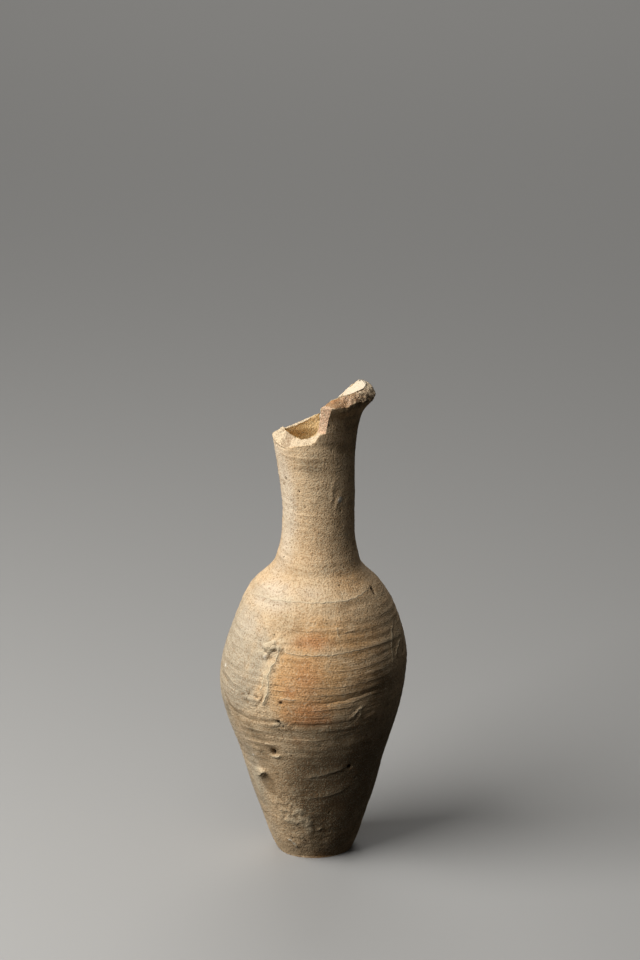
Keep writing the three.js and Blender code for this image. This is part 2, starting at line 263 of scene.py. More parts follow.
    [-0.1, 0.35, 0.35, 0.3, 0.7, 0, [(84, 82), (92, 76), (94, 71)]],
]
LONG_LINE = 90  # degrees. A line that spans more isn't wrapped round to its middle
RAGGED = 0.22  # how far lines stray
RAGGED_WIDTH = 1.6
STROKE = 1.5  # how far from a line its lip and its cut can show
STROKE_CORE = 0.6  # share of that where they show in full

# Arcs that the string left underneath: the place that they bend round, their pitch and depth.
STRING_PULL = (24, -10)
STRING_PITCH = 2.4
STRING_DEPTH = 0.35
STRING_MARGIN = 1.2  # the arcs stop this far inside the flat's edge
STRING_FADE = 3  # and die away over this

# Pin holes and burst bubbles: [azimuth, height, radius, depth].
HOLES = [
    [-25.8, 116.6, 0.9, 1.2], [-27.3, 115.3, 0.6, 0.8], [-110, 76.9, 0.75, 1],
    [-111.9, 68.3, 0.85, 1.1], [-110, 67.2, 0.5, 0.7], [-108.4, 66.3, 0.65, 0.7],
    [-119, 52.6, 1, 2.2], [-118.8, 53.5, 0.9, 1.8], [-60.5, 45.9, 1.1, 1.2],
    [-144.4, 163, 0.52, 0.8], [-118.8, 158.9, 0.55, 0.8], [-111, 152.2, 0.4, 0.5],
    [-104.6, 87.6, 0.4, 0.6], [-119.6, 41.6, 0.4, 0.5], [-60.4, 84.6, 0.4, 0.5],
    [-45, 66, 0.5, 0.5], [-150, 60, 0.45, 0.5], [-84, 58, 0.4, 0.5], [40, 88, 0.8, 1],
    [110, 104, 0.6, 0.8], [165, 76, 0.7, 0.9], [75, 54, 0.9, 1.1], [140, 40, 0.6, 0.8],
    [5, 60, 0.5, 0.7], [95, 150, 0.5, 0.7], [30, 165, 0.5, 0.6],
]
HOLE_CORE = 0.35  # share of a hole's radius inside which it has its full depth
HOLE_SLOPE = 0.9  # and over which it comes up to the wall

# Where the surface has its own finish: [azimuth, height, half width in degrees, half height,
# strength], each fading out softly.
ZONES = {
    # orange-buff glow that the kiln left round the front
    "warm": [
        [-88, 106, 32, 7, 0.85], [-60, 100, 30, 10, 0.75], [-99, 90, 15, 14, 1.1],
        [-82, 88, 20, 14, 0.85], [-101, 76, 17, 9, 1.2], [-80, 78, 22, 8, 0.85],
        [-58, 86, 22, 14, 0.6], [-111, 84, 7, 12, 1.2], [-125, 80, 5, 6, 0.7], [-110, 94, 7, 5, 1],
        [-116, 27, 8, 6, 0.5], [-112, 8, 12, 5, 0.4], [-50, 122, 34, 6, 0.5],
        [-68, 163, 14, 8, 0.3], [60, 80, 44, 20, 0.7], [130, 108, 44, 14, 0.5],
        [-76, 1, 16, 3, 0.7],
    ],
    # dry, chalky bloom
    "chalky": [
        [-150, 152, 26, 30, 1], [-136, 116, 30, 6, 0.9], [-152, 104, 22, 10, 0.6],
        [-164, 174, 20, 6, 0.8], [170, 160, 30, 30, 0.6], [-100, 119, 26, 4, 0.5],
    ],
    # grains of lime
    "lime": [
        [-53.6, 155, 4.4, 1.2, 1.5], [-140.6, 48.4, 1, 0.7, 1.2], [-163, 84, 1.6, 1.2, 0.9],
        [-121.4, 9.2, 3, 0.6, 1.1], [-117, 7.4, 2, 0.9, 1.1], [-114.8, 5.4, 1.2, 0.9, 1],
        [-124.6, 94.6, 2.4, 2, 0.6], [120, 130, 2, 1, 1], [60, 46, 1.4, 0.9, 1],
    ],
    # redder middle of the glow
    "fired": [
        [-97, 86, 16, 13, 0.6], [-109, 84, 7, 12, 0.45], [-104, 82, 8, 6, 0.7],
        [-94, 74, 20, 6, 0.85], [-90, 69.4, 17, 3.2, 1.05], [-94, 102, 16, 5, 0.75],
        [-106, 79, 9, 8, 0.5], [-98, 60, 10, 5, 0.45], [66, 76, 22, 8, 0.7],
    ],
    # thin pale skin of lime and wiped slip
    "pale": [
        [-162, 94, 36, 20, 1.15], [-131, 92, 9, 15, 1.1], [-150, 108, 24, 8, 0.6],
        [-146, 78, 22, 12, 1.1], [-166, 68, 20, 40, 0.9], [-166, 32, 20, 24, 0.9],
        [174, 86, 24, 11, 0.8], [-179, 52, 22, 11, 0.85], [166, 68, 11, 7, 0.6],
        [174, 24, 22, 8, 0.75], [-121, 97, 8, 6, 0.6], [-146, 40, 15, 26, 0.85],
        [-150, 12, 22, 12, 0.6], [-128, 74, 8, 5, 0.6], [-104, 175, 24, 3, 0.4],
        [150, 90, 44, 34, 0.7], [30, 50, 30, 20, 0.5], [100, 150, 50, 20, 0.4],
    ],
    # grey-brown where smoke and soil have stained the clay
    "smoke": [
        [-72, 34, 44, 28, 1.3], [-98, 40, 22, 22, 0.7], [-118, 34, 16, 22, 0.55],
        [-68, 64, 40, 7, 0.9], [-112, 64, 34, 5, 0.6], [-150, 66, 20, 5, 0.5],
        [-110, 107.5, 22, 6, 0.5], [-132, 90, 9, 14, 0.3], [-132, 61, 12, 6, 0.7],
        [-130, 51, 9, 10, 0.55], [-96, 170, 24, 7, 0.6], [-42, 82, 22, 14, 0.75],
        [-64, 8, 32, 12, 0.8], [-88, 113, 50, 2.4, 0.25], [-30, 40, 50, 34, 1],
        [100, 34, 60, 26, 1], [10, 70, 26, 26, 0.6], [-80, 176, 9, 5, 0.3],
    ],
    # wiped so wet that fine lines run round it
    "lined": [
        [-90, 78, 400, 28, 1], [-90, 173, 400, 5, 0.5], [-90, 106, 400, 10, 0.8],
    ],
    # crumbling, grainy clay
    "crumbly": [
        [-122, 97, 9, 6, 0.8], [-123, 90, 5, 6, 0.5], [-121, 82, 3.6, 9, 0.4],
        [-130, 75.6, 11, 3.6, 0.7], [-124, 73, 5, 3, 0.7], [-110, 67.4, 8, 2.6, 1],
        [-112, 23, 20, 10, 0.6], [-106, 13, 14, 9, 0.35], [-62, 156, 8, 6, 0.5],
        [70, 20, 40, 14, 0.5], [-28, 197, 44, 3.4, 0.8],
    ],
    # brown, rubbed edge of the lip
    "worn": [
        [-40, 197, 24, 3, 0.6], [0, 196, 34, 2, 0.4], [-62, 198, 14, 2.6, 1],
    ],
}

# Finish of the break by azimuth of the outer edge: [azimuth, salmon, dirt, rubbed].
BREAK_FINISH = [
    [-84, 0.2, 0.1, 0], [-76, 0.75, 0.1, 0], [-73.5, 0.75, 0.2, 0.2], [-70, 0.5, 0.8, 1],
    [-60, 0.6, 0.6, 0.9], [-54, 0.8, 0.4, 0.6], [-47, 0.5, 0.6, 0.9], [-40, 0.4, 0.6, 0.6],
    [-25, 0.35, 0.35, 0.6], [-10, 0.3, 0.25, 0.4], [10, 0.3, 0.25, 0.3], [24, 0.3, 0.2, 0.4],
    [40, 0.2, 0.15, 0.1], [100, 0.25, 0.2, 0], [170, 0.1, 0.1, 0], [186, 0.2, 0.3, 0],
    [198, 0.2, 0.35, 0], [208, 0.2, 0.15, 0], [218, 0.4, 0.9, 0], [231, 0.5, 0.8, 0],
    [236, 0.4, 0.1, 0], [252, 0.3, 0.05, 0], [262, 0.2, 0.5, 0], [272, 0.25, 0.3, 0],
    [276, 0.3, 0.1, 0],
]

# Heights between which each comes in, from none to full.
MARKED = (-0.3, 0.4)  # the marks in the tables above
ROUGHENED = (0.2, 2.2)  # what the nodes put on
TINTED_AND_SHADED = (6, 18)  # soil and painted shade in the hollows, rubbed clay and painted highlight on high spots
LIP_PAINTED_LIGHT = (186, 194)  # painted light: a chalk-pale band inside the lip, from the first height to the second
# Where most ridges are gone, and the share that is: the lower body was trimmed, and the neck drawn
# out smooth.
SMOOTHED = [(52, 28, 0.75), (148, 164, 0.6)]

# The string's arcs are cut below the first height. Marks die away towards the middle of the
# underside below the second, with this power of the distance from it.
FLAT_BELOW = 0.05
UNDER_BELOW = 1
UNDER_POWER = 6

# Mesh fineness. The body and the break have COLUMNS columns, and the rest has every second or
# fourth of them.
COLUMNS = 256
ROW = 0.62  # spacing of the body's rows along its wall
SAMPLES = 400  # places at which the slope of the wall is measured
UNDERSIDE_ROWS = 26
WORN_EDGE = [(0.8, 0.12), (0.97, 0.4)]  # rings of the foot's edge: share of its width, rise
OUTER_BANDS = [(0.9, 18, 2), (18, 122, 1), (122, SPREAD_HEIGHT, 2)]  # from, to, every n-th column
TOP_ROWS = 62
TOP_FINE = 0.5  # share of the way up to the break past which every column is there
INNER_TOP_ROWS = 30
INNER_TOP_FINE = 0.6
INNER_CROWD = 0.7
INNER_BANDS = {2: range(145, 120, -3), 4: [*range(118, 12, -3), 10.6, 9.5, 8.4, FLOOR]}

# The break: places of its rows across the wall, how far its two edges are rounded off, and the
# share of the wall that each rounding takes.
BREAK_STEPS = [0.03, 0.09, 0.17, 0.26, 0.35, 0.44, 0.53, 0.62, 0.71, 0.8, 0.88, 0.94, 0.98]
ARRIS = 0.25
ARRIS_SHARE = 0.12

# Teeth along the break, outside and inside: seed, width and height. The inner ones are lowered to
# INNER_SHARE, and LIP_CALM is taken off all of them on the surviving lip, about LIP_MIDDLE.
OUTER_TEETH = [(3, 2.1, 0.26), (4, 0.9, 0.14)]
INNER_TEETH = [(5, 2.4, 0.3), (6, 0.9, 0.12)]
INNER_SHARE = 0.7
LIP_MIDDLE = -25  # degrees
LIP_HALF_WIDTH = 42
LIP_CALM = 0.15

WALL, BREAK, HOLLOW = 0, 1, 2  # zones of the skin, for its three finishes


def through(rows, at):
    """Height of the smooth curve through [x, y] rows at each x, flat beyond its ends."""
    x, y = np.array(rows, float).T[:2]
    run = np.diff(x)
    slope = np.diff(y) / run
    inner = (slope[:-1] * run[1:] + slope[1:] * run[:-1]) / (run[1:] + run[:-1])
    tangent = np.concatenate([slope[:1], inner, slope[-1:]])
    at = np.clip(at, x[0], x[-1])
    i = np.clip(np.searchsorted(x, at, side="right") - 1, 0, len(run) - 1)
    t = (at - x[i]) / run[i]
    m0, m1 = tangent[i] * run[i], tangent[i + 1] * run[i]
    y0, y1 = y[i], y[i + 1]
    return y0 + t * (m0 + t * (3 * (y1 - y0) - 2 * m0 - m1 + t * (2 * (y0 - y1) + m0 + m1)))


def turn(a, b):
    """Difference between two azimuths, from -180 to 180 degrees."""
    return (a - b + 180) % 360 - 180


def smooth(t):
    """0 to 1, with a soft start and end."""
    t = np.clip(t, 0, 1)
    return t * t * (3 - 2 * t)


def rise(value, start, full):
    """0 at start and 1 at full, softly, whichever is the higher."""
    return smooth((value - start) / (full - start))


def wobble(seed, size, at, period):
    """Smooth noise from -1 to 1 along a line that closes on itself after a period."""
    count = max(3, round(period / size))
    knots = np.random.default_rng(seed).uniform(-1, 1, count)
    place = at / period * count
    i = np.floor(place).astype(int)
    t = smooth(place - i)
    return knots[i % count] * (1 - t) + knots[(i + 1) % count] * t


def wall_point(wall, azimuth, z):
    """Points of a wall, in millimetres."""
    r = through(wall, z)
    a = np.radians(azimuth)
    return np.stack([r * np.cos(a) + through(LEAN, z), r * np.sin(a), z + 0 * a], axis=-1)


# ---------------------------------------------------------------------------------------------
# Laying out the skin


def teeth(sizes, at, length):
    """How far the teeth of the break rise at each place along it."""
    return sum(height * wobble(seed, width, at, length) for seed, width, height in sizes)


def rim():
    """The broken edge at each column, evenly along it: the outer edge's azimuth and height, the
    inner edge's, and how proud the clay stands between them."""
    rows = np.array(TOP_EDGE, float)
    for column in (0, 2):
        rows[:, column] = np.degrees(np.unwrap(np.radians(rows[:, column])))
    closed = np.vstack([rows, rows[0] + [360, 0, 360, 0, 0]])
    outside = wall_point(OUTER_WALL, closed[:, 0], closed[:, 1])
    along = np.concatenate([[0], np.cumsum(np.linalg.norm(np.diff(outside, axis=0), axis=1))])
    length = along[-1]
    at = np.arange(COLUMNS) / COLUMNS * length
    edge = np.stack([np.interp(at, along, values) for values in closed.T])
    calm = 1 - LIP_CALM * np.exp(-((turn(edge[0], LIP_MIDDLE) / LIP_HALF_WIDTH) ** 6))
    edge[1] += teeth(OUTER_TEETH, at, length) * calm
    edge[3] += INNER_SHARE * calm * teeth(INNER_TEETH, at, length)
    return edge


def low_azimuths():
    """Azimuth of each column low on the wall: in step with the rim, and crowded at the front."""
    start = first = TOP_EDGE[0][0]
    swing = math.degrees(FRONT_CROWDING)
    for _ in range(30):  # ample for start to settle
        start = first + swing * math.sin(math.radians(start - FRONT))
    even = start + np.arange(COLUMNS) * 360 / COLUMNS
    return even - swing * np.sin(np.radians(even - FRONT))


def heights(low, high):
    """Heights from low up to just under high, a ROW apart along the slope of the outer wall."""
    z = np.linspace(low, high, SAMPLES)
    along = np.concatenate([[0], np.cumsum(np.hypot(np.diff(z), np.diff(through(OUTER_WALL, z))))])
    count = round(along[-1] / ROW)
    return np.interp(np.arange(count) * along[-1] / count, along, z)


def fanned(low, edge_azimuth, edge_height, t):
    """Azimuths and heights of a ring between SPREAD_HEIGHT, at t = 0, and the break, at t = 1."""
    azimuth = low + turn(edge_azimuth, low) * t**FAN
    return azimuth, SPREAD_HEIGHT + (edge_height - SPREAD_HEIGHT) * t


class Skin:
    """The bottle's rings, from the middle of the underside up, over the break and down inside.
    Each ring is a row of columns with its points, its azimuths and its zone."""

    def __init__(self):
        self.points, self.azimuth, self.zone = [], [], []

    def ring(self, points, azimuth, zone):
        self.points.append(points)
        self.azimuth.append(azimuth)
        self.zone.append(zone)

    def wall_ring(self, wall, azimuth, z):
        self.ring(wall_point(wall, azimuth, z), azimuth, WALL if wall is OUTER_WALL else HOLLOW)

    def faces(self):
        """Faces between neighbouring rings, which have the same count or one half the other's,
        with the zone of the ring above."""
        start, faces, zones = 0, [], []
        for below, above, zone in zip(self.points, self.points[1:], self.zone[1:]):
            a, b = len(below), len(above)
            top = start + a
            n = min(a, b)
            i = np.arange(n)
            j = (i + 1) % n
            left, right, top_left, top_right = start + i, start + j, top + i, top + j
            if a == b:
                made = [(left, right, top_right, top_left)]
            elif a < b:
                mid, after = top + 2 * i + 1, top + (2 * i + 2) % b
                made = [(left, mid, mid - 1), (left, right, mid), (right, after, mid)]
            else:
                mid, after = start + 2 * i + 1, start + (2 * i + 2) % a
                made = [(top_left, mid - 1, mid), (top_right, top_left, mid), (top_right, mid, after)]
            for corners in made:
                faces += np.stack(corners, 1).tolist()
            zones += [zone] * n * len(made)
            start = top
        first, last = len(self.points[0]), len(self.points[-1])
        total = start + last
        faces += [[total, (i + 1) % first, i] for i in range(first)]
        faces += [[total + 1, start + i, start + (i + 1) % last] for i in range(last)]
        return faces, zones + [WALL] * first + [HOLLOW] * last


def lay_out():
    """All the rings of the bottle."""
    skin = Skin()
    low = low_azimuths()
    outer_azimuth, outer_height, inner_azimuth, inner_height, proud = rim()

    # underside, flat, with a worn edge
    foot = wall_point(OUTER_WALL, low[::2], 0)
    for share in np.linspace(0, 1, UNDERSIDE_ROWS + 1)[1:]:
        skin.ring(foot * (share * FLAT_RADIUS / FOOT_RADIUS), low[::2], WALL)
    worn = 1 - FLAT_RADIUS / FOOT_RADIUS
    for share, lift in WORN_EDGE:
        skin.ring(foot * (1 - (1 - share) * worn) + [0, 0, lift], low[::2], WALL)

    # outer wall
    for start, end, step in OUTER_BANDS:
        for z in heights(start, end):
            skin.wall_ring(OUTER_WALL, low[::step], z)
    for i in range(TOP_ROWS + 1):
        t = (i / TOP_ROWS) ** CROWD
        azimuth, z = fanned(low, outer_azimuth, outer_height, t)
        step = 1 if t > TOP_FINE else 2
        skin.wall_ring(OUTER_WALL, azimuth[::step], z[::step])

    # the break
    outside = wall_point(OUTER_WALL, outer_azimuth, outer_height)
    inside = wall_point(INNER_WALL, inner_azimuth, inner_height)
    along = np.roll(outside + inside, -1, 0) - np.roll(outside + inside, 1, 0)
    up = np.cross(along, inside - outside)
    up /= np.linalg.norm(up, axis=1)[:, None]
    for t in BREAK_STEPS:
        crown = 4 * t * (1 - t) * proud
        rounding = ARRIS * (1 - smooth(min(t, 1 - t) / ARRIS_SHARE))
        points = outside + (inside - outside) * t + up * (crown - rounding)[:, None]
        skin.ring(points, outer_azimuth, BREAK)

    # inner wall
    for i in range(INNER_TOP_ROWS, -1, -1):
        t = (i / INNER_TOP_ROWS) ** INNER_CROWD
        azimuth, z = fanned(low, inner_azimuth, inner_height, t)
        step = 1 if t > INNER_TOP_FINE else 2
        skin.wall_ring(INNER_WALL, azimuth[::step], z[::step])
    for step, levels in INNER_BANDS.items():
        for z in levels:
            skin.wall_ring(INNER_WALL, low[::step], z)
    return skin


# ---------------------------------------------------------------------------------------------
# Marks that have their own place on the outer wall


def from_line(azimuth, z, points):
    """Distance in millimetres from each place on the wall to a line of (azimuth, height) points,
    above 0 to the left of the line as it runs, and how far along the line it is, from 0 to 1."""
    line = np.array(points, float)
    middle = line[len(line) // 2, 0]
    x = np.radians(turn(azimuth, middle)) * through(OUTER_WALL, z)
    along = line[:, 0] - middle
    if abs(line[-1, 0] - line[0, 0]) <= LONG_LINE:  # a longer one stays at its own azimuths
        along = turn(line[:, 0], middle)
    px = np.radians(along) * through(OUTER_WALL, line[:, 1])
    lengths = np.hypot(np.diff(px), np.diff(line[:, 1]))
    reached = np.concatenate([[0], np.cumsum(lengths)])
    best = np.full(len(x), np.inf)
    signed, place = np.zeros(len(x)), np.zeros(len(x))
    for k, length in enumerate(lengths):
        dx, dz = px[k + 1] - px[k], line[k + 1, 1] - line[k, 1]
        rx, rz = x - px[k], z - line[k, 1]
        t = np.clip((rx * dx + rz * dz) / length**2, 0, 1)
        distance = np.hypot(rx - t * dx, rz - t * dz)
        nearer = distance < best
        side = np.where(dx * rz - dz * rx >= 0, 1, -1)
        best = np.where(nearer, distance, best)
        signed = np.where(nearer, side * distance, signed)
        place = np.where(nearer, (reached[k] + t * length) / reached[-1], place)
    ragged = RAGGED * wobble(len(line), RAGGED_WIDTH, place * reached[-1], 2 * reached[-1])
    return signed + ragged, place


def marks(azimuth, z):
    """The named marks on the outer wall at each place: relief in millimetres, how deep in a hole,
    distance from the nearest line in millimetres, above 0 on its upper side, how pale that line is,
    partly as painted highlight, and how dark, as painted shade."""
    relief, hole, offset, pale, dark, nearness = (np.zeros(len(z)) for _ in range(6))
    radius = through(OUTER_WALL, z)
    for middle, height, width, tall, size in LUMPS:
        across = np.radians(turn(azimuth, middle)) * radius
        relief += size * np.exp(-((across / width) ** 2) - ((z - height) / tall) ** 2)
    for size, above, below, fade, lip, cut, points in LINES:
        signed, place = from_line(azimuth, z, points)
        reach = np.where(signed > 0, above, below)
        ends = smooth(np.minimum(place, 1 - place) / fade)
        relief += size * np.exp(-((signed / reach) ** 2)) * ends
        near = ends * (1 - smooth(np.abs(signed) / STROKE))
        nearest = near > nearness
        nearness = np.where(nearest, near, nearness)
        window = ends * (1 - smooth(np.abs(signed) / STROKE - STROKE_CORE))
        offset = np.where(nearest, signed, offset)
        # lip: pale clay and painted highlight; cut: painted shade
        pale = np.where(nearest, lip * window, pale)
        # painted shade beside the line
        dark = np.where(nearest, cut * window, dark)
    for middle, height, size, depth in HOLES:
        across = np.radians(turn(azimuth, middle)) * radius
        inside = 1 - smooth((np.hypot(across, z - height) / size - HOLE_CORE) / HOLE_SLOPE)
        relief -= depth * inside
        hole = np.maximum(hole, inside)
    return relief, hole, offset, pale, dark


def string_cut(points):
    """How far up the string that cut the bottle off the wheel bit into each place on the underside:
    arcs about a place beyond the foot, none near its edge."""
    across = np.hypot(points[:, 0] - STRING_PULL[0], points[:, 1] - STRING_PULL[1])
    arcs = 0.5 - 0.5 * np.cos(across / STRING_PITCH * math.tau)
    edge = FLAT_RADIUS - STRING_MARGIN
    inside = smooth((edge - np.hypot(points[:, 0], points[:, 1])) / STRING_FADE)
    return STRING_DEPTH * arcs**2 * inside


def zone_strength(spots, azimuth, z):
    """Strength of a zone at each place: the strongest of its spots."""
    strength = np.zeros(len(z))
    for middle, height, width, tall, size in spots:
        distance = np.hypot(turn(azimuth, middle) / width, (z - height) / tall)
        strength = np.maximum(strength, size * np.exp(-(distance**2)))
    return strength


def vessel_mesh(scale):
    """The skin as a mesh in metres, with the attributes that its nodes and finishes read."""
    skin = lay_out()
    faces, zones = skin.faces()
    points = np.vstack([*skin.points, [[0, 0, 0]], [[through(LEAN, FLOOR), 0, FLOOR]]])
    azimuth = np.concatenate([*skin.azimuth, [0, 0]])
    zone = np.repeat([*skin.zone, WALL, HOLLOW], [*map(len, skin.points), 1, 1])
    z = points[:, 2]
    wall = zone == WALL

    marked = np.zeros((5, len(z)))
    marked[:, wall] = marks(azimuth[wall], z[wall])
    relief, hole, offset, pale, dark = marked
    out = np.hypot(points[:, 0], points[:, 1]) / FLAT_RADIUS
    relief *= rise(z, *MARKED) * np.where(z < UNDER_BELOW, np.minimum(out, 1) ** UNDER_POWER, 1)
    a = np.radians(azimuth)
    points[:, 0] += relief * np.cos(a)
    points[:, 1] += relief * np.sin(a)
    points[:, 2] += np.where(wall & (z < FLAT_BELOW), string_cut(points), 0)

    mesh = bpy.data.meshes.new("unguentarium")
    mesh.from_pydata((points * scale).tolist(), [], faces)
    skin_only = np.where(wall, rise(z, *ROUGHENED), 0)
    thrown = skin_only
    for start, full, share in SMOOTHED:
        thrown = thrown * (1 - share * rise(z, start, full))
    turned = (azimuth - BREAK_FINISH[0][0]) % 360 + BREAK_FINISH[0][0]
    at, *finishes = np.array(BREAK_FINISH).T
    layers = {
        "hole": hole,
        # relief for the tint: soil and painted shade in hollows, rubbing and painted highlight on high
        # spots
        "relief": relief * rise(z, *TINTED_AND_SHADED),
        "line_offset": offset,
        # pale lip of lines: pale clay and painted highlight
        "line_lip": pale,
        # painted shade beside lines
        "line_cut": dark,
        "wall": skin_only,
        "thrown": thrown,
        "fracture": zone == BREAK,
        "hollow": zone == HOLLOW,
        # painted light inside the lip
        "rim_light": np.where(zone == HOLLOW, rise(z, *LIP_PAINTED_LIGHT), 0),
    }
    for name, values in zip(("salmon", "dirt", "rubbed"), finishes):
        layers[name] = np.interp(turned, at, values)
    for name, spots in ZONES.items():
        layers[name] = zone_strength(spots, azimuth, z) * (zone != HOLLOW)
    for name, values in layers.items():
        layer = mesh.attributes.new(name, "FLOAT", "POINT")
        layer.data.foreach_set("value", values.astype(np.float32))
    layer = mesh.attributes.new("zone", "INT", "FACE")
    layer.data.foreach_set("value", np.array(zones, np.int32))
    mesh.validate()
    return mesh


# ---------------------------------------------------------------------------------------------
# Nodes


def add(tree, kind, feeds=(), **settings):
    """Adds a node with its settings. feeds gives its inputs, in order or by name: a value, or the
    node or the output that feeds each."""
    node = tree.nodes.new(kind)
    for name, value in settings.items():
        setattr(node, name, value)
    for name, value in feeds.items() if isinstance(feeds, dict) else enumerate(feeds):
        named = (s for s in node.inputs if s.enabled and s.name == name)
        socket = node.inputs[name] if isinstance(name, int) else next(named)
        if isinstance(value, bpy.types.Node):
            value = next(s for s in value.outputs if s.enabled)
        if isinstance(value, bpy.types.NodeSocket):
            tree.links.new(value, socket)
        else:
            socket.default_value = value
    return node


def linear(hex_colour):
    """An sRGB hex colour as linear red, green and blue."""
    values = [int(hex_colour[k : k + 2], 16) / 255 for k in (1, 3, 5)]
    return [v / 12.92 if v <= 0.04045 else ((v + 0.055) / 1.055) ** 2.4 for v in values]


def opaque(colour):
    return (*colour, 1)


# Kinds of node and socket that come up often.
MATH = "ShaderNodeMath"
VECTOR_MATH = "ShaderNodeVectorMath"
NOISE = "ShaderNodeTexNoise"
MAP_RANGE = "ShaderNodeMapRange"
ATTRIBUTE = "ShaderNodeAttribute"
GEOMETRY, FLOAT, INTEGER = "NodeSocketGeometry", "NodeSocketFloat", "NodeSocketInt"

# Throwing ridges on this ware are 2.5 to 4 mm apart. Its pits are mostly 0.4 to 0.8 mm wide, and its
# sand is no coarser. Grains and small pits are drawn about 1.1 mm wide, coarser than real, because
# finer ones would fall between the mesh's rows. Rows have the property, the input, its default and
# what it is.
SURFACE_INPUTS = [
    ("ridge_pitch", "Ridge Pitch", 3.4 * MM, "Height between throwing ridges"),
    ("ridge_relief", "Ridge Relief", 0.1 * MM, "How far throwing ridges stand out"),
    ("line_pitch", "Wiped Line Pitch", 1.15 * MM, "Spacing of the fine lines left by wiping"),
    ("line_relief", "Wiped Line Relief", 0.12 * MM, "Depth of the wiped lines"),
    ("lump_size", "Lump Size", 9 * MM, "Width of the soft unevenness"),
    ("lump_relief", "Lump Relief", 0.6 * MM, "Height of the soft unevenness"),
    ("grain_size", "Grain Size", 1.1 * MM, "Width of the grains that roughen the skin"),
    ("grain_relief", "Grain Relief", 0.14 * MM, "Height of the grains"),
    ("crumb_size", "Crumb Size", 1.9 * MM, "Width of the crumbs where the clay crumbles"),
    ("crumb_relief", "Crumb Relief", 1.5 * MM, "Height of the crumbs"),
    ("fracture_relief", "Fracture Relief", 1.0 * MM, "Roughness of the broken clay"),
    ("finger_pitch", "Finger Pitch", 5.5 * MM, "Height between finger ridges inside the bottle"),
    ("finger_relief", "Finger Relief", 0.25 * MM, "How far finger ridges stand out"),
    ("pit_radius", "Pit Radius", 0.54 * MM, "Radius of the small pits"),
    ("pit_depth", "Pit Depth", 0.4 * MM, "Depth of the small pits"),
]
PIT_DENSITY = 9000
PIT_SEED = 7
PITTED_FROM = 0.9  # share of the skin's relief at which pits begin, clear of the foot

# Noise that the relief is made from: its width in mm, or the input that gives it, detail, roughness.
RELIEF_NOISE = {
    "wander": (45, 1, 0.5),  # ridges stray up and down
    "coming": (16, 1, 0.5),  # ridges come and go
    "lumps": ("Lump Size", 2, 0.5),
    "grain": ("Grain Size", 2, 0.5),
    "loose": ("Crumb Size", 3, 0.5),
    "rough": (2.2, 4, 0.65),  # broken clay
    "uneven": (3, 2, 0.5),  # pits aren't round
}
RIDGE_STRAY = 2.4  # how far ridges stray, in pitches
RIDGE_PRESENCE = (0.42, 0.66)  # where the noise that brings them starts and is full
WIPED_LENGTH = 28  # mm, round the pot

# What is added up: pattern, its middle, how far it stands out, the attribute that says where.
RELIEF = [
    ("ridges", 0.0, "Ridge Relief", "thrown"),
    ("wiped", 0.5, "Wiped Line Relief", "lined"),
    ("lumps", 0.5, "Lump Relief", "wall"),
    ("grain", 0.5, "Grain Relief", "wall"),
    ("chips", 0.15, "Crumb Relief", "crumbly"),
    ("rough", 0.5, "Fracture Relief", "fracture"),
    ("fingers", 0.0, "Finger Relief", "hollow"),
    ("grain", 0.5, "Grain Relief", "hollow"),
]


